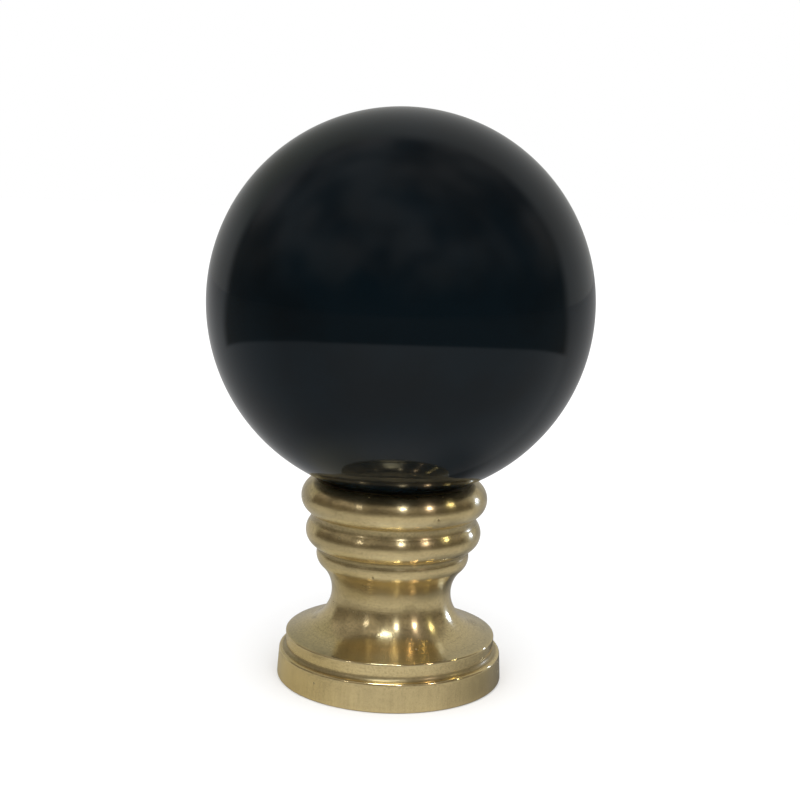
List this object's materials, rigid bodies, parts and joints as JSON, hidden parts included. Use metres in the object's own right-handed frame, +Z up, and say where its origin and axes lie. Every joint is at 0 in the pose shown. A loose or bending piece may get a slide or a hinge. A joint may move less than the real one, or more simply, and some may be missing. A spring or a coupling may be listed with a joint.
{
  "type": "lamp shade finial",
  "caption": "Lamp shade finial: a glossy black ceramic ball seated on a turned solid brass base with beads, a waisted neck, a flange and a round foot, tapped from below.",
  "frame": {"origin": "centre of the foot's underside, on the axis of turning", "axes": "+Z up along the axis of turning, from the foot to the top of the ball; X and Y are alike"},
  "size_m": [0.0318, 0.0318, 0.0475],
  "materials": {
    "black_glaze": "high gloss, near black",
    "turned_brass": "polished, lightly aged, with darker grooves"
  },
  "bodies": {
    "root": {"ball": "black_glaze", "base": "turned_brass"}
  },
  "joints": []
}
